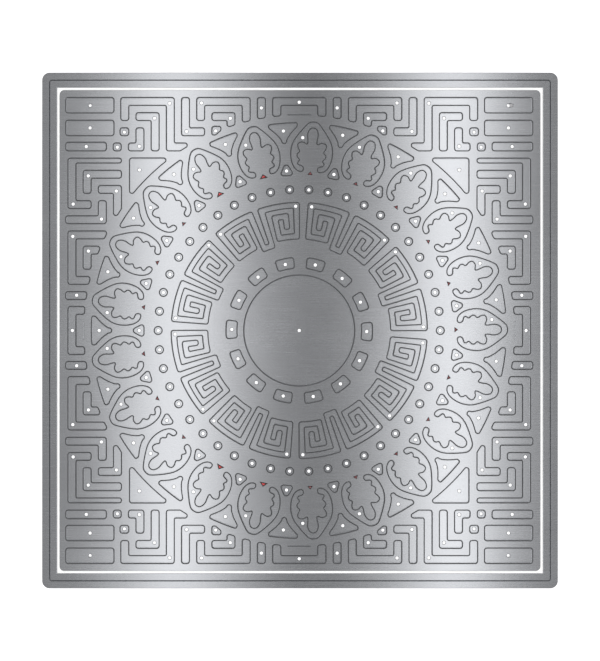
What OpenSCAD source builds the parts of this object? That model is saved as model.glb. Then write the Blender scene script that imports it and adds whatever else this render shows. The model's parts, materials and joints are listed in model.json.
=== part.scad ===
// Square ornamental access cover in its frame. The cover is a pierced ornament plate on a
// drained, ribbed base plate; it drops onto a gasketed ledge and lifts straight out.
// Origin: centre of the frame at its underside. +Z is up, the tread face is at z = frame_h.

/* [Frame] */
// Outside size of the square frame
frame_size = 680; // [560:10:820]
// Height of the frame, from its bedding to the tread
frame_h = 65; // [54:1:100]
// Width of the surround strip outside the frame wall
surround_w = 10; // [9:1:20]
// Height of the surround strip
surround_h = 20; // [10:1:21]
// Radius of the surround's outer corners
surround_r = 10; // [6:1:16]
// Thickness of the frame wall
wall_t = 10; // [6:1:14]
// Radius of the frame wall's outer corners
wall_r = 3; // [1:0.5:5]
// How far the seat ledge reaches in from the wall
ledge_w = 15; // [12:0.5:18]
// Thickness of the seat ledge
ledge_t = 8; // [5:1:12]
// Leg of the corner plates below the ledge
gusset_leg = 40; // [25:1:48]
// Thickness of the corner plates
gusset_t = 6; // [4:1:8]

/* [Seals] */
// Thickness of the flat gasket on the ledge
gasket_t = 3; // [2:0.5:5]
// How far the joint seal stays below the tread
seal_drop = 1.5; // [0.5:0.5:4]
// Running clearance between the joint seal and the cover
seal_clearance = 0.3; // [0.2:0.1:0.6]

/* [Anchor lugs] */
// Distance between the two lugs on each side
lug_spacing = 400; // [200:10:440]
// Width of a lug
lug_w = 30; // [20:1:50]
// Thickness of the lug strap
lug_t = 3; // [2:0.5:4]
// Length of the lower leg, which takes the fixing
lug_leg = 21; // [18:1:22]
// Diameter of the fixing hole in a lug
lug_hole_d = 9; // [6:0.5:10]

/* [Cover] */
// Gap between the frame wall and the cover, all round
gap = 3; // [2:0.5:5]
// Radius of the cover's corners
cover_r = 6; // [3:0.5:9]
// Thickness of the pierced ornament plate
ornament_t = 5; // [4:0.5:8]
// Thickness of the drained base plate
base_t = 5; // [4:0.5:8]
// Height of the edge bars that bear on the gasket
edge_h = 15; // [12:1:20]
// Thickness of the edge bars
edge_t = 5; // [4:0.5:7]
// Diameter of a drain hole
drain_d = 4.2; // [3:0.1:6]
// Length of the one slotted drain hole
drain_slot = 8; // [6:0.5:9]

/* [Stiffeners] */
// Depth of the ribs below the base plate
rib_h = 35; // [24:1:40]
// Thickness of a rib
rib_t = 3; // [2:0.5:3.5]
// Clearance between the ribs and the seat ledge
rib_clearance = 3; // [2:0.5:6]

/* [Lifting] */
// Outside diameter of a lifting socket
socket_d = 14; // [10:1:15]
// Height of a lifting socket
socket_h = 14; // [8:1:14]
// Tapping diameter of the socket's M5 thread
socket_bore = 4.2; // [3.3:0.1:6]

/* [Plate studs] */
// Diameter of the weld studs under the ornament plate
stud_d = 5; // [4:0.5:6]
// Length of a weld stud
stud_l = 13; // [12:1:20]
// Clearance on the diameter where a stud passes the base plate
stud_clearance = 0.5; // [0.3:0.1:1]
// Width across the corners of a stud nut
nut_d = 9.2; // [8:0.2:11]
// Thickness of a stud nut
nut_t = 4; // [3:0.5:5]

/* [Ornament] */
// Sideways shift of the whole pattern on the cover
pattern_shift = -1; // [-2:0.5:2]
// Width of the eased edge that every outline is centred on
ease = 1; // [0:0.1:1.2]
// Radius of a pocket's outward corners
corner_out = 2.5; // [1:0.1:3]
// Radius of a pocket's inward corners
corner_in = 2.8; // [1:0.1:3.2]
// Radius of the centre disc
disc_r = 73; // [60:1:76]
// Number of blocks round the disc
block_count = 14; // [8:1:16]
// Number of key units in the ring
key_count = 8; // [6:1:10]
// Number of dots in the ring
dot_count = 46; // [30:1:52]
// Diameter of a dot
dot_d = 10; // [8:0.5:10]
// Number of petals in the ring
petal_count = 21; // [19:1:21]
// How far the enamel inlays stay below the tread
inlay_drop = 0.4; // [0.2:0.1:1]
// Clearance round an enamel inlay
inlay_clearance = 0.1; // [0.05:0.05:0.2]

/* [Hidden] */
$fn = 48;

// Plan sizes, from the outside in
wall_size = frame_size - 2 * surround_w;
opening_size = wall_size - 2 * wall_t;
cover_size = opening_size - 2 * gap;
ledge_inner = opening_size - 2 * ledge_w;
edge_inner = cover_size - 2 * edge_t;

// Heights, from the tread down
ornament_z = frame_h - ornament_t;
base_z = ornament_z - base_t;
edge_z = base_z - edge_h;
ledge_top = edge_z - gasket_t;
ledge_z = ledge_top - ledge_t;
rib_z = base_z - rib_h;

// Plan position and slope of the ribs' coped ends
rib_reach = ledge_inner / 2 - rib_clearance;
rib_cope = 15;
rib_step = 1;
// A cut that passes right through a plate runs this far past it
past = 1;
// Angle of one chord on the corners of the frame and cover
corner_chord = 15;
// Angle of one chord on the corners of a pocket
pocket_chord = 30;

// The ornament is drawn on a cover of this size and follows the real one
drawn_cover = 634;
plan_scale = cover_size / drawn_cover;

// Ribs stand between the drain holes
long_rib_x = [-224, -154, -44, 29.5, 138, 221];
cross_rib_y = [-220.5, -56, 56, 220.5];

// Lifting sockets under the outermost corner bars
socket_x = 276;
socket_y = 297;

// ---- Ornament: radii and angles of the rings, in drawn millimetres ----
block_in = 82.4;
block_out = 96.4;
block_hole_r = 89;
block_half = 7.35;
block_turn = -0.9;
key_out = 168.7;
key_pitch = 6.85;
key_turn = 20.45;
key_hole_r = 164;
key_hole_a = 18.8;
// A key unit is 15 steps wide, with 1.5 steps to the next unit
key_step = 360 / key_count / 16.5;
dot_ring = 186;
tri_hole_r = 210.6;
wedge_hole_r = 263.5;
petal_hole_r = 254.5;
petal_hole_a = 3.25;
inlay_in = 205.2;
inlay_out = 209.7;
inlay_half = 3.4;
inlay_red = 1.6;
// The fret stops on this circle
fret_ring = 284.3;
petal_step = 360 / petal_count;
// The ring of petals is laid out in two halves, which mirror each other across the X axis.
// Each half is this far off the ring's centre and turned this far
half_offset = [-0.5, 0.5];
half_turn = 0.16;
// Petals with a red inlay at their foot
red_petals = [6, 7, 14, 15];

// ---- Outline tools ----
function unit_v(v) = v / norm(v);
function turned(v, a) = [v.x * cos(a) - v.y * sin(a), v.x * sin(a) + v.y * cos(a)];
function polar(r, a) = [r * cos(a), r * sin(a)];
function mirrored_y(p) = [for (i = [len(p) - 1:-1:0]) [p[i].x, -p[i].y]];
function next_of(p, i) = p[(i + 1) % len(p)];
function before(p, i) = p[(i + len(p) - 1) % len(p)];
function crosses(p) = [for (i = [0:len(p) - 1]) cross(p[i], next_of(p, i))];
function way_round(p) = sign(crosses(p) * [for (q = p) 1]);
function inward(p, i, way) = let (d = unit_v(next_of(p, i) - p[i])) way * [-d.y, d.x];

// An outline moved in by d, so that an eased edge is centred on the drawn line
function inset(p, d) = let (way = way_round(p), n = len(p)) [
    for (i = [0:n - 1])
        let (a = inward(p, (i + n - 1) % n, way), b = inward(p, i, way))
        p[i] + d * (a + b) / (1 + a * b)
];

// One corner as an arc of radius r, or less where its sides are short
function corner(p, a, b, r, chord) =
    let (
        u = unit_v(a - p),
        v = unit_v(b - p),
        half = acos(u * v) / 2,
        back = min(r / tan(half), 0.48 * min(norm(a - p), norm(b - p))),
        arc_r = back * tan(half),
        centre = p + unit_v(u + v) * arc_r / sin(half),
        spoke = p + u * back - centre,
        turn = (180 - 2 * half) * sign(cross(v, u)),
        n = max(2, round(abs(turn) / chord))
    )
    [for (i = [0:n]) centre + turned(spoke, turn * i / n)];

function is_outward(p, i, way) = way * cross(p[i] - before(p, i), next_of(p, i) - p[i]) > 0;
function is_bend(p, i) =
    abs(cross(unit_v(p[i] - before(p, i)), unit_v(next_of(p, i) - p[i]))) > 0.17;

// A closed outline with every corner rounded
function rounded(p, r_out, r_in, chord) = let (way = way_round(p)) [
    for (i = [0:len(p) - 1])
        let (r = is_outward(p, i, way) ? r_out : r_in)
        each is_bend(p, i) ? corner(p[i], before(p, i), next_of(p, i), r, chord) : [p[i]]
];

// A closed smooth curve that follows its control points
function smooth(p, n) = [
    for (i = [0:len(p) - 1])
        let (a = (before(p, i) + p[i]) / 2, b = (p[i] + next_of(p, i)) / 2)
        for (step = [0:n - 1])
            let (u = step / n)
            (1 - u) ^ 2 * a + 2 * u * (1 - u) * p[i] + u ^ 2 * b
];

// Extra points on the sides of an outline, so that it can be bent into a ring
function divided(p, step) = [
    for (i = [0:len(p) - 1])
        let (q = next_of(p, i), n = max(1, ceil(abs(q.x - p[i].x) / step)))
        for (j = [0:n - 1]) p[i] + (q - p[i]) * j / n
];

function squared(size) = [for (a = [45:90:315]) polar(size / sqrt(2), a)];
function pocket(p) = plan_scale * rounded(inset(p, ease / 2), corner_out, corner_in, pocket_chord);
module plan(size, r) polygon(r > 0 ? rounded(squared(size), r, r, corner_chord) : squared(size));

// ---- Ornament: outlines in drawn millimetres ----
// Ring of blocks
function block_outline() = concat(
    [for (i = [-2:2]) polar(block_out, block_half * i / 2)],
    [for (i = [2:-1:-2]) polar(block_in, block_half * i / 2)]
);

// One key unit on its own grid: half steps across, pitches down from its outer edge
function key_half() = [
    [7, 0], [7, 7], [2, 7], [2, 2], [5, 2], [5, 5], [4, 5], [4, 3],
    [3, 3], [3, 6], [6, 6], [6, 1], [1, 1], [1, 8]
];
function key_flat() = let (
    half = [for (q = key_half()) [q.x + 0.5, q.y]],
    slot = [[-0.5, 0], [-0.5, 7], [0.5, 7], [0.5, 0]],
    other = [for (i = [len(half) - 1:-1:0]) [-half[i].x, half[i].y]],
    across = key_pitch
) [for (q = concat(half, other, slot)) [q.x * across, key_out - q.y * key_pitch]];
function key_outline() = let (
    flat = rounded(inset(key_flat(), ease / 2), key_pitch * 0.3, key_pitch * 0.3, 45),
    bent = divided(flat, key_pitch * 1.3)
) [for (q = bent) polar(q.y, q.x / key_pitch * key_step)];

// Pocket between a petal and the leaf inside it, one side of the radial axis
petal_side = [
    [274.8, 3.8], [271.6, 8.2], [258.5, 18.4], [246, 26.2], [232.5, 28], [218.5, 25],
    [209.8, 18.4], [208.4, 9.7], [215.8, 9.4], [217.2, 17.6], [221, 17.7], [224, 14.7],
    [227.6, 19.2], [232, 19.5], [235.2, 15.2], [239.4, 18.8], [246, 19.8], [248.8, 12.6],
    [244.4, 6.1], [251, 6.2], [258.5, 7.9], [267.4, 4.2]
];
petal_outline = smooth(concat(petal_side, mirrored_y(petal_side)), 3);

// Small triangle between the feet of two petals
tri_side = [[204.4, 9.2], [218, 2]];
tri_outline = concat(tri_side, mirrored_y(tri_side));

// Wedge between the tips of two petals: hollow sides, and an arc outside
wedge_out = 273.3;
wedge_half = 4;
wedge_side = [[247, 2.4], [251.5, 3.4], [255, 5.6], [260, 9.6], [264.6, 14.4], [268.2, 18.6]];
wedge_arc = [for (i = [3:-1:-3]) polar(wedge_out, wedge_half * i / 3)];
wedge_outline = concat(wedge_side, wedge_arc, mirrored_y(wedge_side));

function inlay_outline(long) = [
    [inlay_in, inlay_half * long], [inlay_out + 2 * (long - 1), 0], [inlay_in, -inlay_half * long]
];

// ---- Ornament: fret in the corners, one quarter of the cover (-X, +Y) ----
fret = 10;
function top(i, j) = [-(i + 0.5) * fret, (30.7 - j) * fret];
function flank(i, j) = [-(i + 0.46) * fret, (j + 0.1) * fret];
function ring_y(x) = [x, sqrt(fret_ring ^ 2 - x ^ 2)];
function ring_x(y) = [-sqrt(fret_ring ^ 2 - y ^ 2), y];

corner_arc = [for (y = [218, 208, 198, 188]) ring_x(y)];

fret_pockets = [
    [top(30.25, 0), top(23.95, 0), top(23.95, 2), top(30.25, 2)],
    [top(30.25, 3), top(23.95, 3), top(23.95, 5), top(30.25, 5)],
    [top(30.25, 5.9), top(24.95, 5.9), top(24.95, 7), top(30.25, 7)],
    [top(24, 6), top(23, 6), top(23, 7), top(24, 7)],
    [top(23.1, 4), top(22, 4), top(22, 5), top(23.1, 5)],
    [top(23, 0), top(16, 0), top(16, 6), ring_x(247), ring_x(237), top(17, 7), top(17, 1), top(22, 1),
        top(22, 3), top(23, 3)],
    [top(21, 2), top(18, 2), top(18, 7), top(19, 7), top(19, 3), top(21, 3)],
    [top(21, 4), top(20, 4), top(20, 7), top(22, 7), top(22, 6), top(21, 6)],
    [top(15, 0), top(14, 0), top(14, 4), top(12, 4), top(12, 5), top(15, 5)],
    [top(13, 0), top(6, 0), ring_y(-65), ring_y(-75), top(7, 1), top(12, 1), top(12, 3), top(13, 3)],
    [top(11, 2), top(8, 2), ring_y(-85), ring_y(-95), top(9, 3), top(11, 3)],
    [top(11, 3.8), top(9.85, 3.8), top(9.85, 4.3), top(10.55, 4.9), top(11, 4.9)],
    [top(5, 0), top(4, 0), ring_y(-45), ring_y(-55)],
    [flank(30, 22.6), flank(23, 22.6), flank(23, 22), flank(29, 22), flank(29, 17), flank(27, 17),
        flank(27, 16), flank(30, 16)],
    [flank(28, 21), flank(23, 21), flank(23, 20), flank(27, 20), flank(27, 18), flank(28, 18)],
    [flank(26, 19), flank(23, 19), ring_y(-234.6), ring_y(-244.6), flank(24, 18), flank(26, 18)],
    [flank(26, 17), flank(25, 17), flank(25, 14), flank(30.3, 14), flank(30.3, 15), flank(26, 15)],
    concat([[-223.5, 227.2], ring_x(227.2)], corner_arc, [ring_y(-223.5)]),
    [flank(30, 13), ring_x(131), ring_x(121), flank(29, 12), flank(29, 7), ring_x(71), ring_x(61),
        flank(30, 6)],
    [flank(28, 11), ring_x(111), ring_x(101), flank(27, 10), flank(27, 8), flank(28, 8)],
    [flank(30.3, 5), ring_x(51), ring_x(41), flank(30.3, 4)]
];

fret_drains = [
    [-276, 267.3], [-281, 242.7], [-240, 241.8], [-230.7, 261.7], [-171, 299.8], [-191, 280],
    [-211, 243], [-148.7, 262.7], [-129, 300.2], [-91, 280], [-110.3, 263.4], [-50, 293.7],
    [-298.3, 166.8], [-278.4, 204], [-241.3, 184], [-261, 147], [-211, 211.8],
    [-298.8, 124.2], [-278.2, 104.8], [-293.7, 46.5]
];

// Brackets at the middle of the sides, with a slit inside each
end_bracket = [
    [-35, 307], [35, 307], ring_y(35), ring_y(24.5), [24.5, 297], [-24.5, 297], ring_y(-24.5),
    ring_y(-35)
];
side_bracket = [
    [-304.6, 31.5], ring_x(31.5), ring_x(21.5), [-294.6, 21.5], [-294.6, -21.5], ring_x(-21.5),
    ring_x(-31.5), [-304.6, -31.5]
];
bracket_drain = 301.2;
side_bracket_drain = 299.3;
slit_w = 1.2;
end_slit = 30.6;
side_slit = 24;

// ---- Placing helpers ----
module patterned() translate([pattern_shift, 0]) children();
module in_quarters() for (mx = [0, 1], my = [0, 1]) mirror([mx, 0, 0]) mirror([0, my, 0]) children();
module at_ring(count, r, start) for (i = [0:count - 1]) rotate(start + i * 360 / count)
    translate([r * plan_scale, 0]) children();
module spun(count, start) for (i = [0:count - 1]) rotate(start + i * 360 / count) children();
module on_side(i) rotate([0, 0, 90 * i]) children();

// Quarter of the plan that belongs to the front side, cut at the mitres
module front_wedge() polygon([[0, 0], [frame_size, -frame_size], [-frame_size, -frame_size]]);
module mitred(outer, r_outer, inner, r_inner, h) linear_extrude(h) intersection() {
    difference() {
        plan(outer, r_outer);
        plan(inner, r_inner);
    }
    front_wedge();
}

// ---- Ornament plate ----
function half_of(a) = a < 180 ? 1 : a > 180 ? -1 : 0;
module at_petal(a) translate(plan_scale * [half_offset.x, half_of(a) * half_offset.y])
    rotate(a + half_of(a) * half_turn) children();
module round_petals(start) for (i = [0:petal_count - 1]) at_petal(start + i * petal_step)
    children();
module fret_quarter(mx, my) mirror([mx, 0, 0]) mirror([0, my, 0])
    for (outline = fret_pockets) polygon(pocket(outline));
module brackets_2d() {
    for (my = [0, 1]) mirror([0, my, 0]) polygon(pocket(end_bracket));
    for (mx = [0, 1]) mirror([mx, 0, 0]) polygon(pocket(side_bracket));
    for (y = [-1, 1]) translate([0, y * fret_ring * plan_scale])
        square([end_slit * plan_scale, slit_w], center = true);
    for (x = [-1, 1]) translate([x * fret_ring * plan_scale, 0])
        square([slit_w, side_slit * plan_scale], center = true);
}
function is_red(i) = len([for (q = red_petals) if (q == i) q]) > 0;
module inlays_2d(fit, red) for (i = [0:petal_count - 1]) if (is_red(i) == red)
    at_petal(i * petal_step) polygon(plan_scale * inset(inlay_outline(red ? inlay_red : 1), fit));
module ornament_plate() color("silver") translate([0, 0, ornament_z]) linear_extrude(ornament_t)
    difference() {
        plan(cover_size, cover_r);
        patterned() circle(disc_r * plan_scale - ease / 2);
        patterned() spun(block_count, block_turn) polygon(pocket(block_outline()));
        patterned() spun(key_count, key_turn) polygon(plan_scale * key_outline());
        patterned() at_ring(dot_count, dot_ring, 0) circle((dot_d - ease) / 2);
        patterned() round_petals(0) polygon(plan_scale * inset(petal_outline, ease / 2));
        patterned() round_petals(petal_step / 2) polygon(pocket(tri_outline));
        patterned() round_petals(petal_step / 2) polygon(pocket(wedge_outline));
        patterned() fret_quarter(0, 0);
        patterned() fret_quarter(1, 0);
        patterned() fret_quarter(0, 1);
        patterned() fret_quarter(1, 1);
        patterned() brackets_2d();
        patterned() inlays_2d(0, true);
        patterned() inlays_2d(0, false);
    }

// ---- Base plate ----
// Petals above the middle drain on their left, petals below it on their right
function petal_drain_a(i) = i * petal_step + (i * petal_step < 180 ? petal_hole_a : -petal_hole_a);
module drain() circle(drain_d / 2);
module drains_2d() {
    drain();
    at_ring(block_count, block_hole_r, block_turn) drain();
    at_ring(key_count, key_hole_r, key_turn - key_hole_a) drain();
    at_ring(key_count, key_hole_r, key_turn + key_hole_a) drain();
    at_ring(dot_count, dot_ring, 0) drain();
    round_petals(petal_step / 2) translate([tri_hole_r * plan_scale, 0]) drain();
    round_petals(petal_step / 2) translate([wedge_hole_r * plan_scale, 0]) drain();
    for (i = [0:petal_count - 1]) rotate(petal_drain_a(i))
        translate([petal_hole_r * plan_scale, 0]) drain();
    for (p = fret_drains) in_quarters() translate(plan_scale * p) drain();
    in_quarters() translate(plan_scale * [socket_x, socket_y]) drain();
    for (y = [-1, 1]) translate([0, y * bracket_drain * plan_scale]) drain();
    for (x = [-1, 1]) translate([x * side_bracket_drain * plan_scale, 0]) drain();
}
// The slotted drain: one socket's hole drawn out sideways
module drain_slot_2d() translate(plan_scale * [socket_x, socket_y]) {
    translate([drain_slot - drain_d, 0]) drain();
    translate([0, -drain_d / 2]) square([drain_slot - drain_d, drain_d]);
}
module base_plate() color("gray") translate([0, 0, base_z]) linear_extrude(base_t)
    difference() {
        plan(cover_size, cover_r);
        patterned() {
            drains_2d();
            drain_slot_2d();
            at_studs() circle((stud_d + stud_clearance) / 2);
        }
    }

// ---- Inlays ----
module inlay_set(red) translate([0, 0, ornament_z]) linear_extrude(ornament_t - inlay_drop)
    patterned() inlays_2d(inlay_clearance, red);
module dark_inlays() color("maroon") inlay_set(false);
module red_inlays() color("firebrick") inlay_set(true);

// ---- Studs ----
// Ring radius, number and first angle of the studs, which stand in the plain bands
stud_rings = [[105, 6, 20], [174.9, 8, 44], [279, 8, 18]];
stud_corner = [276, 282];
module at_studs() {
    for (ring = stud_rings) at_ring(ring[1], ring[0], ring[2]) children();
    in_quarters() translate(plan_scale * stud_corner) children();
}
module plate_studs() color("dimgray") patterned() at_studs()
    translate([0, 0, ornament_z - stud_l]) cylinder(h = stud_l, d = stud_d);
module stud_nuts() color("dimgray") patterned() at_studs()
    translate([0, 0, base_z - nut_t]) difference() {
        cylinder(h = nut_t, d = nut_d, $fn = 6);
        translate([0, 0, -past]) cylinder(h = nut_t + 2 * past, d = stud_d + 0.1);
    }

// ---- Cover's bars and ribs ----
module edge_bar(i) color("gray") on_side(i) translate([0, 0, edge_z])
    mitred(cover_size, cover_r, edge_inner, 0, edge_h);

// Half outline of a rib in (along, up), coped to pass the ledge
function rib_end(side) = [
    [side * edge_inner / 2, base_z],
    [side * edge_inner / 2, edge_z + rib_step],
    [side * rib_reach, edge_z + rib_step],
    [side * (rib_reach - rib_cope), rib_z]
];
module upright(points) rotate([90, 0, 0]) translate([0, 0, -rib_t / 2]) linear_extrude(rib_t)
    polygon(points);
module long_rib(i) color("gray") translate([long_rib_x[i] * plan_scale + pattern_shift, 0, 0])
    rotate([0, 0, 90]) upright(concat(rib_end(-1), mirrored_x(rib_end(-1))));
function mirrored_x(p) = [for (i = [len(p) - 1:-1:0]) [-p[i].x, p[i].y]];

// A cross rib is a row of pieces welded between the long ribs
function rib_face(i, side) = long_rib_x[i] * plan_scale + pattern_shift + side * rib_t / 2;
module cross_rib(i) color("gray") translate([0, cross_rib_y[i] * plan_scale, 0]) {
    last = len(long_rib_x) - 1;
    upright(concat(rib_end(-1), [[rib_face(0, -1), rib_z], [rib_face(0, -1), base_z]]));
    for (j = [0:last - 1]) translate([rib_face(j, 1), -rib_t / 2, rib_z])
        cube([rib_face(j + 1, -1) - rib_face(j, 1), rib_t, rib_h]);
    upright(concat(rib_end(1), [[rib_face(last, 1), rib_z], [rib_face(last, 1), base_z]]));
}

module lifting_sockets() color("dimgray") patterned() in_quarters()
    translate([socket_x * plan_scale, socket_y * plan_scale, base_z - socket_h]) difference() {
        cylinder(h = socket_h, d = socket_d);
        translate([0, 0, -past]) cylinder(h = socket_h + 2 * past, d = socket_bore);
    }

// ---- Frame ----
module surround(i) color("silver") on_side(i) translate([0, 0, frame_h - surround_h])
    mitred(frame_size, surround_r, wall_size, wall_r, surround_h);
module wall(i) color("silver") on_side(i) mitred(wall_size, wall_r, opening_size, 0, frame_h);
module ledge(i) color("gray") on_side(i) translate([0, 0, ledge_z])
    mitred(opening_size, 0, ledge_inner, 0, ledge_t);
module corner_gussets() color("gray") for (i = [0:3]) on_side(i)
    translate([opening_size / 2, opening_size / 2, ledge_z - gusset_t]) linear_extrude(gusset_t)
        polygon([[0, 0], [-gusset_leg, 0], [0, -gusset_leg]]);

// Strap joggled outwards, in (out, up) from the wall's face
lug_out = surround_w - 1;
lug_low = 4;
lug_kink = 8;
lug_top = frame_h - surround_h - 1;
lug_profile = [
    [0, lug_top], [lug_t, lug_top], [lug_t, lug_low + lug_leg + lug_kink],
    [lug_out, lug_low + lug_leg], [lug_out, lug_low], [lug_out - lug_t, lug_low],
    [lug_out - lug_t, lug_low + lug_leg - 1], [0, lug_low + lug_leg + lug_kink - 1]
];
lug_hole_z = lug_low + lug_leg * 0.45;
module lug() translate([lug_w / 2, -wall_size / 2, 0]) difference() {
    rotate([90, 0, -90]) linear_extrude(lug_w) polygon(lug_profile);
    translate([-lug_w / 2, 0, lug_hole_z]) rotate([90, 0, 0]) cylinder(h = surround_w, d = lug_hole_d);
}
module anchor_lugs() color("gray") for (i = [0:3], x = [-1, 1]) on_side(i)
    translate([x * lug_spacing / 2, 0, 0]) lug();

module bearing_gasket() color("black") translate([0, 0, ledge_top]) linear_extrude(gasket_t)
    difference() {
        plan(opening_size, 0);
        plan(ledge_inner, 0);
    }
module joint_seal() color("white") translate([0, 0, edge_z])
    linear_extrude(frame_h - seal_drop - edge_z) difference() {
        plan(opening_size, 0);
        plan(cover_size + 2 * seal_clearance, cover_r + seal_clearance);
    }

surround(0);  // surround_front
surround(1);  // surround_right
surround(2);  // surround_back
surround(3);  // surround_left
wall(0);  // wall_front
wall(1);  // wall_right
wall(2);  // wall_back
wall(3);  // wall_left
ledge(0);  // ledge_front
ledge(1);  // ledge_right
ledge(2);  // ledge_back
ledge(3);  // ledge_left
corner_gussets();
anchor_lugs();
bearing_gasket();
joint_seal();
ornament_plate();
base_plate();
edge_bar(0);  // edge_bar_front
edge_bar(1);  // edge_bar_right
edge_bar(2);  // edge_bar_back
edge_bar(3);  // edge_bar_left
long_rib(0);  // long_rib_1
long_rib(1);  // long_rib_2
long_rib(2);  // long_rib_3
long_rib(3);  // long_rib_4
long_rib(4);  // long_rib_5
long_rib(5);  // long_rib_6
cross_rib(0);  // cross_rib_1
cross_rib(1);  // cross_rib_2
cross_rib(2);  // cross_rib_3
cross_rib(3);  // cross_rib_4
lifting_sockets();
dark_inlays();
red_inlays();
plate_studs();
stud_nuts();
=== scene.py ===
"""Square ornamental access cover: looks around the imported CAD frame."""
import json
import math

import bmesh
import bpy
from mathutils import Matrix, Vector


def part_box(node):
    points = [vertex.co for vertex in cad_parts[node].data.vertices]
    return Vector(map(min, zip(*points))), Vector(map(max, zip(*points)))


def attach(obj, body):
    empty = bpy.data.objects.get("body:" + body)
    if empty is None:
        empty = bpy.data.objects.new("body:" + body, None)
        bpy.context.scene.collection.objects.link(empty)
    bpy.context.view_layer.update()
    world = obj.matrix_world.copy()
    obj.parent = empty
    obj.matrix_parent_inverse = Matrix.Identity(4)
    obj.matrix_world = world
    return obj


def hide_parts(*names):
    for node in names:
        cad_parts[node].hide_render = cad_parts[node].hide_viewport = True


MM = 0.001

# How strongly the brushing stretches a reflection across the scratches
ANISOTROPY = 0.75
# Squeeze of the noise along a scratch: the smaller it is, the longer the scratch
LONG_STROKE, SHORT_STROKE = 0.012, 0.03

# All sizes from here to the welds are in millimetres.
# The V joint between surround and wall: how far each side stands back from the joint's plane
# at half its depth, at its mouth and where the flat tread begins
JOINT_HALFWAY, JOINT_MOUTH, JOINT_FLAT = 0.35, 0.95, 1.15
JOINT_HALF_DEPTH, JOINT_DEPTH = 0.55, 1.1
# Corner radii in plan of the surround's outer face, the joint and the opening
SURROUND_CORNER, WALL_CORNER, OPENING_CORNER = 10.0, 3.0, 0.4

# A plate's outline wider than this is its outer edge; the others are cuts in it
PLATE_SPAN = 500
# Fine edges go to slits narrower than the first, and to sharp enamel cells within the others
SLIT_WIDTH, CELL_LENGTH, CELL_WIDTH = 3, 13, 8
# Outlines of the base plate below this size are drain or stud holes
HOLE_SPAN = 20
# Edge profiles of a plate: (into the metal, below the top)
OUTER_EDGE = [(0.0, 0.5), (0.12, 0.15), (0.5, 0.0)]
FINE_EDGE = [(0.0, 0.15), (0.15, 0.0)]
POCKET_EDGE = [(0.0, 1.3), (0.04, 1.22), (1.46, 0.02), (1.54, 0.0)]
DRAIN_EDGE = [(0.0, 0.5), (0.5, 0.0)]

# Enamel: how far the rim's outer edge is broken, across and down, how wide the rim is, the
# width of the step down to the core, and the depths of the core's edge and middle
RIM_BREAK, RIM_DROP = 0.2, 0.25
DARK_RIM, RED_RIM = 0.6, 1.0
CORE_STEP, CORE_SINK, CORE_DOME = 0.12, 0.18, 0.05

# Seal: corner radius of its outer face and how much wider it is at the cover, room to the
# cover, and the wiper fins
SEAL_CORNER, COVER_CORNER = 0.4, 6.0
LIP_CLEARANCE, FIN_DEPTH = 0.35, 0.7
FINS, FIN_START, FIN_PITCH = 3, 3.0, 7.0
# Gasket: its grooves and its corner radius
GROOVES, GROOVE_START, GROOVE_PITCH = 4, 2.2, 3.2
GASKET_CORNER = 0.2

# Welds of the cover: step along a bead, length and pitch of the stitches, legs of the beads
RIPPLE = 1.3
STITCH = 28.0
PITCH = 58.0
RIB_LEG, CROSS_LEG, BAR_LEG, SOCKET_LEG = 2.2, 2.0, 2.4, 1.5
# Room that a stitch keeps to a hole, to a crossing rib and to a rib that meets an edge bar
HOLE_ROOM, CROSSING_ROOM, RIB_ROOM = 5, 4, 3
# A cross rib's upright beads stop this far from its lower edge and from the base plate
CROSS_LOW, CROSS_HIGH = 1, 2
# Welds of the frame: middles of the stitches along a side, their length, legs of the beads
LEDGE_SPOTS = (-236, -118, 0, 118, 236)
SKIRT_SPOTS = (-290, -120, 0, 120, 290)
FRAME_STITCH = 36
LEDGE_LEG, SKIRT_LEG, LUG_LEG = 2.6, 2.4, 2.2
# A lug's beads run between these depths below its top
LUG_STITCH = (14, 1)
# How deep a bead's root is sunk, strips across a bead, and steps round a socket
BEAD_SINK, BEAD_STEPS, SOCKET_STEPS = 0.05, 4, 40
DOWN = (0, 0, -1)
# Sizes of the CAD pieces that their boxes don't give
SOCKET_R = 7.0
LUG_SPACING = 400.0
LUG_WIDTH = 30.0

# Points nearer than this are one point, and faces within this of the top are the top, in metres
SAME_POINT, SAME_LEVEL = 2e-6, 1e-5

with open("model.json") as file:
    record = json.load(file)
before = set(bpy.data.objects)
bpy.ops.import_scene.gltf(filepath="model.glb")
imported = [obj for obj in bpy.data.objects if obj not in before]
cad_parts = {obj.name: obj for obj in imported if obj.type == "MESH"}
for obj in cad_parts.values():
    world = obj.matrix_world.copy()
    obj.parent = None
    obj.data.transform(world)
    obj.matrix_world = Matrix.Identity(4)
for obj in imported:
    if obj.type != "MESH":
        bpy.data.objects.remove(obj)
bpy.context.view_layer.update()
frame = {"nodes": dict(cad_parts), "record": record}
nodes = frame["nodes"]


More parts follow.
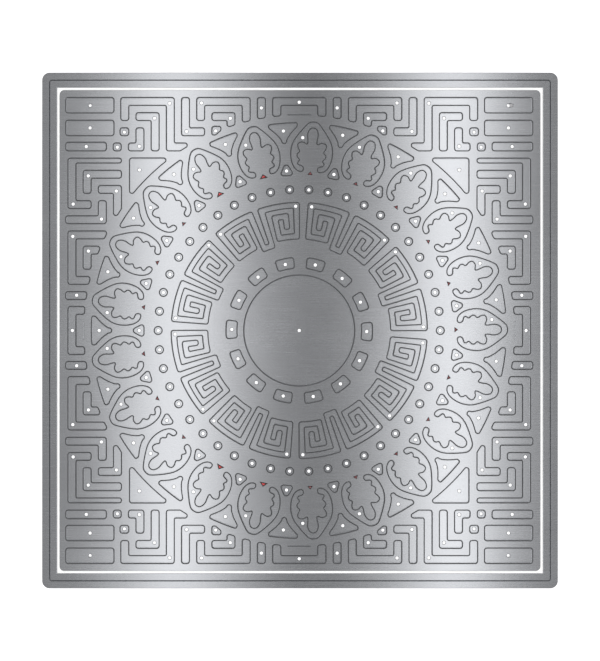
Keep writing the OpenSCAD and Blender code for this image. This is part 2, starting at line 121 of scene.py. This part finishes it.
# ---- Materials -------------------------------------------------------------
class Tree:
    """One material's node tree, with a few short ways to add to it."""

    def __init__(self, name):
        self.material = bpy.data.materials.new(name)
        self.material.use_nodes = True
        self.tree = self.material.node_tree
        self.shader = self.tree.nodes["Principled BSDF"]
        self.coords = self.tree.nodes.new("ShaderNodeTexCoord")

    def add(self, kind, **values):
        node = self.tree.nodes.new(kind)
        for key, value in values.items():
            setattr(node, key, value)
        return node

    def link(self, a, b):
        self.tree.links.new(a, b)

    def put(self, **values):
        for key, value in values.items():
            self.shader.inputs[key.replace("_", " ")].default_value = value

    def noise(self, scale, detail=3.0, stretch=(1, 1, 1), roughness=0.55):
        mapping = self.add("ShaderNodeMapping")
        mapping.inputs["Scale"].default_value = stretch
        self.link(self.coords.outputs["Object"], mapping.inputs["Vector"])
        node = self.add("ShaderNodeTexNoise")
        node.inputs["Scale"].default_value = scale
        node.inputs["Detail"].default_value = detail
        node.inputs["Roughness"].default_value = roughness
        self.link(mapping.outputs["Vector"], node.inputs["Vector"])
        return node.outputs["Fac"]

    def span(self, value, low, high, start=0.3, end=0.7):
        node = self.add("ShaderNodeMapRange")
        for key, number in (("From Min", start), ("From Max", end), ("To Min", low), ("To Max", high)):
            node.inputs[key].default_value = number
        self.link(value, node.inputs["Value"])
        return node.outputs["Result"]

    def mix(self, factor, low, high):
        node = self.add("ShaderNodeMix", data_type="RGBA")
        for socket, value in ((node.inputs[6], low), (node.inputs[7], high)):
            if isinstance(value, tuple):
                socket.default_value = (*value, 1.0)
            else:
                self.link(value, socket)
        self.link(factor, node.inputs[0])
        return node.outputs[2]

    def math(self, kind, a, b):
        node = self.add("ShaderNodeMath", operation=kind)
        for socket, value in ((node.inputs[0], a), (node.inputs[1], b)):
            if isinstance(value, (int, float)):
                socket.default_value = value
            else:
                self.link(value, socket)
        return node.outputs[0]

    def colour(self, value):
        self.link(value, self.shader.inputs["Base Color"])

    def rough(self, value):
        self.link(value, self.shader.inputs["Roughness"])

    def bump(self, height, depth, strength=1.0):
        node = self.add("ShaderNodeBump")
        node.inputs["Strength"].default_value = strength
        node.inputs["Distance"].default_value = depth
        self.link(height, node.inputs["Height"])
        self.link(node.outputs["Normal"], self.shader.inputs["Normal"])

    def tangent(self, direction):
        node = self.add("ShaderNodeCombineXYZ")
        for socket, value in zip(node.inputs, direction):
            socket.default_value = value
        self.link(node.outputs[0], self.shader.inputs["Tangent"])


def brushed(name, tone, rough, along=(1, 0, 0), stain=0.06):
    """Brushed stainless: scratches run along one axis, in long and short strokes."""
    t = Tree(name)
    long_strokes = t.noise(1400.0, 2.0, tuple(LONG_STROKE if a else 1.0 for a in along))
    short_strokes = t.noise(5200.0, 2.0, tuple(SHORT_STROKE if a else 1.0 for a in along))
    strokes = t.math("ADD", long_strokes, t.math("MULTIPLY", short_strokes, 0.6))
    clouds = t.noise(9.0, 4.0)
    wear = t.math("ADD", t.math("MULTIPLY", strokes, 0.55), t.math("MULTIPLY", clouds, 0.45))
    low = tuple(c * (1 - stain) for c in tone)
    high = tuple(min(1.0, c * (1 + stain)) for c in tone)
    t.colour(t.mix(t.span(wear, 0.0, 1.0, 0.45, 0.85), low, high))
    t.rough(t.span(wear, rough * 0.86, rough * 1.16, 0.45, 0.85))
    t.put(Metallic=1.0, Anisotropic=ANISOTROPY)
    t.tangent((along[1], along[0], 0))
    t.bump(strokes, 0.00003, 0.35)
    return t.material


def milled(name, tone, rough):
    """Mill-finish plate: cloudy, faintly pickled, hardly any grain."""
    t = Tree(name)
    clouds = t.noise(14.0, 5.0, (1, 1, 1), 0.6)
    grain = t.noise(900.0, 3.0)
    darker, lighter = (tuple(c * share for c in tone) for share in (0.86, 1.08))
    t.colour(t.mix(t.span(clouds, 0.0, 1.0), darker, lighter))
    t.rough(t.span(clouds, rough * 0.85, rough * 1.2))
    t.put(Metallic=1.0)
    t.bump(t.math("ADD", grain, t.math("MULTIPLY", clouds, 2.0)), 0.00006, 0.5)
    return t.material


def rubber(name, tone, rough, fleck, glow=0.0):
    """Moulded rubber: matt, with a fine skin and a little dust; glow is painted light that keeps a
    white one white in shade.
    """
    t = Tree(name)
    # Painted light: the rubber glows in its own tone, as strongly as glow says.
    t.put(Emission_Color=(*tone, 1.0), Emission_Strength=glow)
    skin = t.noise(2600.0, 3.0)
    dust = t.noise(60.0, 5.0)
    t.colour(t.mix(t.span(dust, 0.0, 1.0, 0.42, 0.75), tone, fleck))
    t.rough(t.span(skin, rough * 0.9, min(1.0, rough * 1.1)))
    t.bump(skin, 0.00005, 0.6)
    return t.material


def enamel(name, deep, bright):
    """Fired enamel: glossy glass over a mottled colour."""
    t = Tree(name)
    mottle = t.noise(700.0, 3.0)
    orange_peel = t.noise(2200.0, 1.0)
    t.colour(t.mix(t.span(mottle, 0.0, 1.0), deep, bright))
    t.rough(t.span(mottle, 0.16, 0.3))
    t.put(Coat_Weight=0.6, Coat_Roughness=0.08)
    t.bump(orange_peel, 0.00002, 0.4)
    return t.material


cover_steel = brushed("cover_steel", (0.487, 0.496, 0.517), 0.25)
frame_steel = brushed("frame_steel", (0.445, 0.454, 0.474), 0.26)
# A darker copy of the steel, painted shade: it draws the bevels of cuts and the lower flanks of the
# frame joint as dark lines.
edge_steel = milled("edge_steel", (0.225, 0.228, 0.237), 0.5)
base_steel = brushed("base_steel", (0.513, 0.523, 0.545), 0.25)
rib_steel = milled("rib_steel", (0.50, 0.50, 0.505), 0.42)
weld_steel = milled("weld_steel", (0.44, 0.42, 0.40), 0.36)
fixing_steel = milled("fixing_steel", (0.56, 0.56, 0.57), 0.3)
# The white seal glows at 0.7: painted light that keeps it white in its shaded gap beside the cover.
white_seal = rubber("seal_rubber", (0.88, 0.88, 0.87), 0.6, (0.84, 0.83, 0.81), 0.7)
black_rubber = rubber("gasket_rubber", (0.018, 0.018, 0.02), 0.7, (0.05, 0.048, 0.045))
rim_enamel = enamel("rim_enamel", (0.035, 0.012, 0.012), (0.07, 0.02, 0.018))
dark_enamel = enamel("dark_enamel", (0.30, 0.07, 0.08), (0.46, 0.12, 0.13))
red_enamel = enamel("red_enamel", (0.88, 0.055, 0.055), (1.0, 0.1, 0.1))

LOOKS = {
    "surround_steel": frame_steel, "wall_steel": frame_steel, "cover_steel": cover_steel,
    "base_steel": base_steel, "rib_steel": rib_steel, "fixing_steel": fixing_steel,
    "gasket_rubber": black_rubber, "seal_rubber": white_seal,
    "dark_enamel": dark_enamel, "red_enamel": red_enamel,
}


def dress(obj, material):
    obj.data.materials.clear()
    obj.data.materials.append(material)


for part in frame["record"]["subparts"]:
    dress(nodes[part["node"]], LOOKS[part["material_slot"]])


# ---- Mesh helpers ----------------------------------------------------------
def make(name, bm, material, body):
    """A piece of this mesh and material that moves with this body."""
    bmesh.ops.recalc_face_normals(bm, faces=bm.faces)
    mesh = bpy.data.meshes.new(name)
    bm.to_mesh(mesh)
    bm.free()
    obj = bpy.data.objects.new(name, mesh)
    bpy.context.scene.collection.objects.link(obj)
    mesh.materials.append(material)
    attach(obj, body)
    return obj


def rounded_square(half, radius, steps=8):
    """The points of a square with round corners, steps chords to a corner."""
    points = []
    for quarter in range(4):
        centre = Vector((half - radius, half - radius))
        for step in range(steps + 1):
            a = math.pi / 2 * step / steps
            x, y = centre + radius * Vector((math.cos(a), math.sin(a)))
            for _ in range(quarter):
                x, y = -y, x
            points.append((x, y))
    return points


def between(half, near, far, near_radius, far_radius):
    """The corner radius of a ring's outline of this half size, between those of its faces."""
    return near_radius + (far_radius - near_radius) * (half - near) / (far - near)


def square_ring(name, profile, radius_at, material, body, dark=()):
    """A closed ring. Its profile is (half size, height) in millimetres, and the strips of the profile
    that dark names are painted shade: they take a darker copy of the steel."""
    bm = bmesh.new()
    rings = []
    for half, height in profile:
        outline = rounded_square(half, radius_at(half))
        rings.append([bm.verts.new((x * MM, y * MM, height * MM)) for x, y in outline])
    for i, ring in enumerate(rings):
        above = rings[(i + 1) % len(rings)]
        for j in range(len(ring)):
            k = (j + 1) % len(ring)
            face = bm.faces.new((ring[j], ring[k], above[k], above[j]))
            face.material_index = 1 if i in dark else 0
    piece = make(name, bm, material, body)
    piece.data.materials.append(edge_steel)
    return piece


def smooth_by_angle(obj, degrees):
    for face in obj.data.polygons:
        face.use_smooth = True
    obj.data.set_sharp_from_angle(angle=math.radians(degrees))


def soften(node, width, segments=2):
    """Breaks the edges of a CAD node by width millimetres."""
    modifier = nodes[node].modifiers.new("edges", "BEVEL")
    modifier.width = width * MM
    modifier.segments = segments
    modifier.limit_method = "ANGLE"
    modifier.angle_limit = math.radians(40)
    modifier.use_clamp_overlap = False
    modifier.harden_normals = False


# ---- Frame: surround and wall as brushed rings with a fine joint between ---
low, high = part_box("surround_front")
outer = -low.y / MM
top = high.z / MM
skirt = low.z / MM
wall_outer = -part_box("wall_front")[0].y / MM
opening = -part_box("wall_front")[1].y / MM
surround_profile = [
    (wall_outer, skirt), (wall_outer, top - JOINT_DEPTH),
    (wall_outer + JOINT_HALFWAY, top - JOINT_HALF_DEPTH), (wall_outer + JOINT_MOUTH, top),
    (wall_outer + JOINT_FLAT, top), (outer - 1.1, top), (outer - 0.9, top),
    (outer - 0.4, top - 0.1), (outer - 0.1, top - 0.4), (outer, top - 0.9), (outer, top - 1.1),
    (outer, skirt + 0.6), (outer - 0.6, skirt),
]
# Strip 1, the lower flank of the joint, takes the darker steel as painted shade.
surround = square_ring(
    "surround_ring", surround_profile,
    lambda h: between(h, wall_outer, outer, WALL_CORNER, SURROUND_CORNER),
    frame_steel, "frame", dark=(1,))
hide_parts("surround_front", "surround_right", "surround_back", "surround_left")
wall_profile = [
    (opening, 0.5), (opening, top - 0.8), (opening + 0.1, top - 0.35), (opening + 0.4, top - 0.08),
    (opening + 0.8, top), (opening + 1.0, top), (wall_outer - JOINT_FLAT, top),
    (wall_outer - JOINT_MOUTH, top), (wall_outer - JOINT_HALFWAY, top - JOINT_HALF_DEPTH),
    (wall_outer, top - JOINT_DEPTH), (wall_outer, 0.5), (wall_outer - 0.5, 0.0),
    (opening + 0.5, 0.0),
]
# Strip 8, the wall's lower flank of the joint, takes the darker steel as painted shade.
wall = square_ring(
    "wall_ring", wall_profile,
    lambda h: between(h, opening, wall_outer, OPENING_CORNER, WALL_CORNER),
    frame_steel, "frame", dark=(8,))
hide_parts("wall_front", "wall_right", "wall_back", "wall_left")
for ring in (surround, wall):
    smooth_by_angle(ring, 34)


# ---- Cover: ornament plate rebuilt from the CAD outlines with eased edges --
def plate_outlines(node):
    """The closed outlines of a flat plate's upper face, each a list of (x, y)."""
    bm = bmesh.new()
    bm.from_mesh(nodes[node].data)
    bmesh.ops.remove_doubles(bm, verts=bm.verts, dist=SAME_POINT)
    level = max(v.co.z for v in bm.verts) - SAME_LEVEL
    after = {}
    for face in bm.faces:
        if face.normal.z > 0.9 and min(v.co.z for v in face.verts) > level:
            for loop in face.loops:
                others = [f for f in loop.edge.link_faces if f is not face]
                if len(others) != 1 or abs(others[0].normal.z) < 0.5:
                    after[loop.vert] = loop.link_loop_next.vert
    outlines = []
    while after:
        outline = []
        vert = next(iter(after))
        while vert in after:
            outline.append(Vector((vert.co.x, vert.co.y)))
            vert = after.pop(vert)
        outlines.append(outline)
    bm.free()
    return outlines


def cleaned(outline):
    """Without points closer than 0.02 mm or in line with their neighbours."""
    points = [p for i, p in enumerate(outline) if (p - outline[i - 1]).length > 0.02 * MM]
    kept = []
    for i, p in enumerate(points):
        a = (p - points[i - 1]).normalized()
        b = (points[(i + 1) % len(points)] - p).normalized()
        if abs(a.x * b.y - a.y * b.x) > 0.002 or a.dot(b) < 0:
            kept.append(p)
    return kept


def moved_out(outline, distance):
    """Moves an outline to the left of its direction of travel, into the metal."""
    result = []
    n = len(outline)
    for i in range(n):
        a = (outline[i] - outline[i - 1]).normalized()
        b = (outline[(i + 1) % n] - outline[i]).normalized()
        na, nb = Vector((-a.y, a.x)), Vector((-b.y, b.x))
        slant = max(0.22, 1 + na.dot(nb))  # holds a sharp corner back
        result.append(outline[i] + distance * (na + nb) / slant)
    return result


def pierced_plate(name, outlines, z_low, z_high, profile_for, material, body):
    """A plate with these outlines; profile_for gives (into the metal, below the top) in mm."""
    bm = bmesh.new()
    top_edges, low_edges = [], []
    for outline in outlines:
        rings = [[bm.verts.new((p.x, p.y, z_low)) for p in outline]]
        for distance, depth in profile_for(outline):
            moved = moved_out(outline, distance * MM)
            rings.append([bm.verts.new((p.x, p.y, z_high - depth * MM)) for p in moved])
        n = len(outline)
        is_cut = max(size_of(outline)) < PLATE_SPAN  # a plate's own edge is brushed like its face
        # Every bevel of a cut takes the darker steel: painted shade that draws the cut as a dark
        # outline.
        for level, (lower, upper) in enumerate(zip(rings, rings[1:])):
            for i in range(n):
                j = (i + 1) % n
                face = bm.faces.new((lower[i], lower[j], upper[j], upper[i]))
                face.material_index = 1 if level and is_cut else 0
        for ring, store in ((rings[0], low_edges), (rings[-1], top_edges)):
            for i in range(n):
                store.append(bm.edges.get((ring[i], ring[(i + 1) % n])))
    for edges, normal in ((top_edges, (0, 0, 1)), (low_edges, (0, 0, -1))):
        bmesh.ops.triangle_fill(bm, use_beauty=False, use_dissolve=False, edges=edges, normal=normal)
    piece = make(name, bm, material, body)
    piece.data.materials.append(edge_steel)
    return piece


def size_of(outline):
    """The two sides of an outline's box, in millimetres."""
    xs = [p.x for p in outline]
    ys = [p.y for p in outline]
    return (max(xs) - min(xs)) / MM, (max(ys) - min(ys)) / MM


def edge_profile(outline):
    short, long = sorted(size_of(outline))
    if long > PLATE_SPAN:
        return OUTER_EDGE
    if short < SLIT_WIDTH or len(outline) <= 4 and long < CELL_LENGTH and short < CELL_WIDTH:
        return FINE_EDGE
    return POCKET_EDGE


def drain_profile(outline):
    return DRAIN_EDGE


low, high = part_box("ornament_plate")
outlines = [cleaned(o) for o in plate_outlines("ornament_plate")]
plate = pierced_plate("ornament_top", outlines, low.z, high.z, edge_profile, cover_steel, "cover")
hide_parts("ornament_plate")

low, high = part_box("base_plate")
base_outlines = [cleaned(o) for o in plate_outlines("base_plate")]
base = pierced_plate("base_sheet", base_outlines, low.z, high.z, drain_profile, base_steel, "cover")
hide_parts("base_plate")


def inlay_set(node, rim, core_material):
    """Enamel triangles: a dark fired rim round a slightly domed core."""
    low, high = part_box(node)
    bm = bmesh.new()
    for outline in plate_outlines(node):
        n = len(outline)
        centre = sum(outline, Vector((0, 0))) / n
        rings = [[bm.verts.new((p.x, p.y, low.z)) for p in outline]]
        profile = (0.0, RIM_DROP), (RIM_BREAK, 0.0), (rim, 0.0), (rim + CORE_STEP, CORE_SINK)
        for inset, depth in profile:
            moved = moved_out(outline, inset * MM)
            rings.append([bm.verts.new((p.x, p.y, high.z - depth * MM)) for p in moved])
        for lower, upper in zip(rings, rings[1:]):
            for i in range(n):
                j = (i + 1) % n
                bm.faces.new((lower[i], lower[j], upper[j], upper[i]))
        bm.faces.new(reversed(rings[0]))
        peak = bm.verts.new((centre.x, centre.y, high.z - CORE_DOME * MM))
        for i in range(n):
            face = bm.faces.new((rings[-1][i], rings[-1][(i + 1) % n], peak))
            face.material_index = 1
    piece = make(node + "_enamel", bm, rim_enamel, "cover")
    piece.data.materials.append(core_material)
    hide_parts(node)


inlay_set("dark_inlays", DARK_RIM, dark_enamel)
inlay_set("red_inlays", RED_RIM, red_enamel)

# Width of the broken edges of the plainer CAD pieces
EDGE_BREAKS = {
    ("ledge", "edge_bar", "long_rib"): 0.5, ("corner_gussets", "anchor_lugs"): 0.6,
    ("plate_studs", "lifting_sockets"): 0.35,
}
for node in nodes:
    for names, width in EDGE_BREAKS.items():
        if node.startswith(names):
            soften(node, width)


# ---- Seal and gasket: extruded strips with lips and grooves ----------------
low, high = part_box("joint_seal")
seal_outer, seal_low, seal_top = high.y / MM, low.z / MM, high.z / MM
cover_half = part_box("base_plate")[1].y / MM
lip = cover_half + LIP_CLEARANCE
groove = lip + FIN_DEPTH
seal_profile = [
    (seal_outer, seal_low + 0.3), (seal_outer, seal_top - 0.6), (seal_outer - 0.5, seal_top - 0.1),
    (seal_outer - 1.1, seal_top), (seal_outer - 1.7, seal_top - 0.1), (lip, seal_top - 0.7),
]
for fin in range(FINS):
    low_lip = seal_top - FIN_START - FIN_PITCH * fin
    seal_profile += [
        (lip, low_lip), (groove, low_lip - 0.8), (groove, low_lip - 4.6), (lip, low_lip - 5.4),
    ]
seal_profile += [(lip, seal_low + 0.3), (lip + 0.3, seal_low), (seal_outer - 0.3, seal_low)]
seal = square_ring(
    "seal_strip", seal_profile,
    lambda h: between(h, seal_outer, cover_half, SEAL_CORNER, SEAL_CORNER + COVER_CORNER),
    white_seal, "frame")
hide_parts("joint_seal")

low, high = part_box("bearing_gasket")
gasket_outer, gasket_low, gasket_top = high.y / MM, low.z / MM, high.z / MM
gasket_inner = -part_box("ledge_front")[1].y / MM
gasket_profile = [
    (gasket_outer, gasket_low), (gasket_outer, gasket_top - 0.4), (gasket_outer - 0.4, gasket_top),
]
for step in range(GROOVES):
    edge = gasket_outer - GROOVE_START - GROOVE_PITCH * step
    gasket_profile += [
        (edge, gasket_top), (edge - 0.3, gasket_top - 0.6), (edge - 0.9, gasket_top - 0.6),
        (edge - 1.2, gasket_top),
    ]
gasket_profile += [
    (gasket_inner + 0.5, gasket_top), (gasket_inner, gasket_top - 0.5), (gasket_inner, gasket_low),
]
gasket = square_ring(
    "gasket_strip", gasket_profile, lambda h: GASKET_CORNER, black_rubber, "frame")
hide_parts("bearing_gasket")


# ---- Weld beads ------------------------------------------------------------
def weld(bm, path, down, leg, closed=False):
    """A rippled fillet in the corner of two faces; path holds (point, outward direction)."""
    rings = []
    last = len(path) - 1
    for i, (point, out) in enumerate(path):
        taper = 1.0 if closed else min(1.0, 0.45 + 0.28 * min(i, last - i))
        size = leg * taper * (1.04 if i % 2 else 0.94)
        root = point - BEAD_SINK * (out + down)
        ring = [root]
        for k in range(BEAD_STEPS + 1):
            a = math.pi / 2 * k / BEAD_STEPS
            face = size * (1 - 0.2 * math.sin(2 * a))
            ring.append(root + face * (math.cos(a) * out + math.sin(a) * down))
        rings.append([bm.verts.new(p * MM) for p in ring])
    for i in range(len(rings) if closed else last):
        ring, following = rings[i], rings[(i + 1) % len(rings)]
        for j in range(len(ring)):
            k = (j + 1) % len(ring)
            bm.faces.new((ring[j], ring[k], following[k], following[j]))
    if not closed:
        bm.faces.new(rings[0])
        bm.faces.new(reversed(rings[-1]))


def stitch(bm, start, end, out, down, leg):
    """One bead from start to end, in the corner between the faces along out and down."""
    start, end, out, down = Vector(start), Vector(end), Vector(out), Vector(down)
    steps = max(6, round((end - start).length / RIPPLE))
    weld(bm, [(start.lerp(end, i / steps), out) for i in range(steps + 1)], down, leg)


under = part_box("base_plate")[0].z / MM
rib_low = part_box("long_rib_1")[0].z / MM
bar_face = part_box("edge_bar_back")[0].y / MM
long_faces = [[v.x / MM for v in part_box(n)] for n in sorted(nodes) if n.startswith("long_rib")]
cross_faces = [[v.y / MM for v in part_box(n)] for n in sorted(nodes) if n.startswith("cross_rib")]
hole_outlines = [o for o in base_outlines if max(size_of(o)) < HOLE_SPAN]
holes = [sum(o, Vector((0, 0))) / len(o) / MM for o in hole_outlines]


def is_free(x, y, reach):
    """No hole's centre in the base plate lies within reach of this point."""
    return all((h - Vector((x, y))).length > reach for h in holes)


def stitches(limit):
    """The middles of the stitches along a bar that ends at plus and minus limit."""
    steps = int((limit - STITCH) / PITCH)
    return [PITCH * i for i in range(-steps, steps + 1)]


def is_clear(spot, faces, room):
    """A stitch centred on this spot ends more than room away from the middle of each rib."""
    return all(abs(spot - (a + b) / 2) > STITCH / 2 + room for a, b in faces)


# Cover: stitches along the ribs and edge bars, uprights at the cross ribs, rings at the sockets
bm = bmesh.new()
for faces in long_faces:
    for x, side in zip(faces, (-1, 1)):
        for y in stitches(bar_face):
            spots = [y + STITCH * k / 8 for k in range(-4, 5)]
            no_hole = all(is_free(x, spot, HOLE_ROOM) for spot in spots)
            if no_hole and is_clear(y, cross_faces, CROSSING_ROOM):
                ends = (x, y - STITCH / 2, under), (x, y + STITCH / 2, under)
                stitch(bm, *ends, (side, 0, 0), DOWN, RIB_LEG)
        for crossing in cross_faces:
            for y, way in zip(crossing, (-1, 1)):
                ends = (x, y, rib_low + CROSS_LOW), (x, y, under - CROSS_HIGH)
                stitch(bm, *ends, (side, 0, 0), (0, way, 0), CROSS_LEG)
for side in (-1, 1):
    for spot in stitches(bar_face):
        y = side * bar_face
        if is_clear(spot, long_faces, RIB_ROOM):
            ends = (spot - STITCH / 2, y, under), (spot + STITCH / 2, y, under)
            stitch(bm, *ends, (0, -side, 0), DOWN, BAR_LEG)
        if is_clear(spot, cross_faces, RIB_ROOM):
            ends = (y, spot - STITCH / 2, under), (y, spot + STITCH / 2, under)
            stitch(bm, *ends, (-side, 0, 0), DOWN, BAR_LEG)
low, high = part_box("lifting_sockets")
for x in (low.x / MM + SOCKET_R, high.x / MM - SOCKET_R):
    for y in (low.y / MM + SOCKET_R, high.y / MM - SOCKET_R):
        circle = []
        for step in range(SOCKET_STEPS):
            turn = 2 * math.pi * step / SOCKET_STEPS
            out = Vector((math.cos(turn), math.sin(turn), 0))
            circle.append((Vector((x, y, under)) + SOCKET_R * out, out))
        weld(bm, circle, Vector(DOWN), SOCKET_LEG, closed=True)
cover_welds = make("cover_welds", bm, weld_steel, "cover")

# Frame: stitches below the ledge and below the surround, and beads beside the lugs
bm = bmesh.new()
ledge_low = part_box("ledge_front")[0].z / MM
lug_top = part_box("anchor_lugs")[1].z / MM
for turn in range(4):
    across = Vector((math.cos(turn * math.pi / 2), math.sin(turn * math.pi / 2), 0))
    inward = Vector((-across.y, across.x, 0))

    def at(along, depth, z):
        """A point this far along a side, this far out from the middle and this high."""
        return along * across - depth * inward + Vector((0, 0, z))

    for spot in LEDGE_SPOTS:
        ends = [at(spot + way * FRAME_STITCH / 2, opening, ledge_low) for way in (-1, 1)]
        stitch(bm, *ends, inward, DOWN, LEDGE_LEG)
    for spot in SKIRT_SPOTS:
        ends = [at(spot + way * FRAME_STITCH / 2, wall_outer, skirt) for way in (-1, 1)]
        stitch(bm, *ends, -inward, DOWN, SKIRT_LEG)
    for lug in (-LUG_SPACING / 2, LUG_SPACING / 2):
        for side in (-1, 1):
            edge = lug + side * LUG_WIDTH / 2
            ends = [at(edge, wall_outer, lug_top - below) for below in LUG_STITCH]
            stitch(bm, *ends, side * across, -inward, LUG_LEG)
frame_welds = make("frame_welds", bm, weld_steel, "frame")
for piece in (seal, gasket, cover_welds, frame_welds):
    smooth_by_angle(piece, 50)


# ---- Stage -----------------------------------------------------------------
def pale_plane(name, side, z, low, high, glow):
    """A square of pale, faintly clouded ground that gives off a little light."""
    bpy.ops.mesh.primitive_plane_add(size=side, location=(0, 0, z))
    plane = bpy.context.object
    plane.name = name
    t = Tree(name)
    t.colour(t.mix(t.span(t.noise(3.0, 4.0), 0.0, 1.0), (low, low, low), (high, high, high)))
    t.put(Roughness=0.9, Emission_Color=(1, 1, 1, 1), Emission_Strength=glow)
    dress(plane, t.material)
    return plane


# The wide floor, and a brighter one below the clear way that shows through the drain holes
floor = pale_plane("floor", 24.0, -0.0004, 0.86, 0.9, 0.8)
shaft = pale_plane("lit_floor", 1.0, -0.0002, 0.9, 0.94, 1.0)
shaft.scale = (2 * gasket_inner * MM, 2 * gasket_inner * MM, 1)

# A grey studio, a little darker overhead than at the horizon
world = bpy.data.worlds.new("studio")
bpy.context.scene.world = world
world.use_nodes = True
tree = world.node_tree
background = tree.nodes["Background"]
direction = tree.nodes.new("ShaderNodeTexCoord")
split = tree.nodes.new("ShaderNodeSeparateXYZ")
ramp = tree.nodes.new("ShaderNodeMapRange")
ramp.interpolation_type = "SMOOTHSTEP"
for key, number in (("From Min", 0.05), ("From Max", 0.95), ("To Min", 0.5), ("To Max", 0.4)):
    ramp.inputs[key].default_value = number
tree.links.new(direction.outputs["Generated"], split.inputs[0])
tree.links.new(split.outputs[2], ramp.inputs["Value"])
tree.links.new(ramp.outputs["Result"], background.inputs["Color"])
background.inputs["Strength"].default_value = 1.0

# One long softbox overhead. Its brightness changes across X, which the brushed steel shows as
# broad bright and dark bands: (place in millimetres, level).
PANEL_WIDTH, PANEL_LENGTH, PANEL_Z = 1.5, 2.4, 0.75
PANEL_LEVEL = 2.0
BANDS = [
    (-750, 0.42), (-405, 0.4), (-368, 0.56), (-343, 0.26), (-268, 0.86), (-183, 2.12), (-88, 0.7),
    (22, 0.19), (130, 0.68), (228, 2.3), (290, 1.02), (340, 0.2), (370, 0.52), (405, 0.38), (750, 0.42),
]
bpy.ops.mesh.primitive_plane_add(size=1.0, location=(0, 0, PANEL_Z), rotation=(math.pi, 0, 0))
panel = bpy.context.object
panel.name = "softbox"
panel.scale = (PANEL_WIDTH, PANEL_LENGTH, 1)
panel.visible_camera = False
t = Tree("softbox_light")
split = t.add("ShaderNodeSeparateXYZ")
t.link(t.coords.outputs["Object"], split.inputs[0])
across = t.add("ShaderNodeValToRGB")
t.link(t.math("ADD", split.outputs[0], 0.5), across.inputs[0])
ramp = across.color_ramp
while len(ramp.elements) < len(BANDS):
    ramp.elements.new(0.5)
for element, (x, level) in zip(ramp.elements, BANDS):
    grey = level / PANEL_LEVEL
    element.position = x * MM / PANEL_WIDTH + 0.5
    element.color = (grey, grey, grey, 1)
fade = t.span(t.math("ABSOLUTE", split.outputs[1], 0.0), 1.0, 0.0, 0.38, 0.5)
glow = t.add("ShaderNodeEmission")
t.link(across.outputs["Color"], glow.inputs["Color"])
t.link(t.math("MULTIPLY", fade, PANEL_LEVEL), glow.inputs["Strength"])
t.link(glow.outputs[0], t.tree.nodes["Material Output"].inputs["Surface"])
dress(panel, t.material)


# ---- Camera ----------------------------------------------------------------
# Straight above the tread; the view's height at the tread is VIEW_HEIGHT
DISTANCE = 6.0
VIEW_HEIGHT = 0.8713
SENSOR = 36.0
data = bpy.data.cameras.new("camera")
camera = bpy.data.objects.new("camera", data)
bpy.context.scene.collection.objects.link(camera)
camera.location = (0, 0, DISTANCE + top * MM)
data.sensor_fit = "VERTICAL"
data.sensor_height = SENSOR
data.lens = SENSOR * DISTANCE / VIEW_HEIGHT
data.clip_end = 60
bpy.context.scene.camera = camera
bpy.context.scene.view_settings.view_transform = "Standard"

bpy.context.view_layer.update()
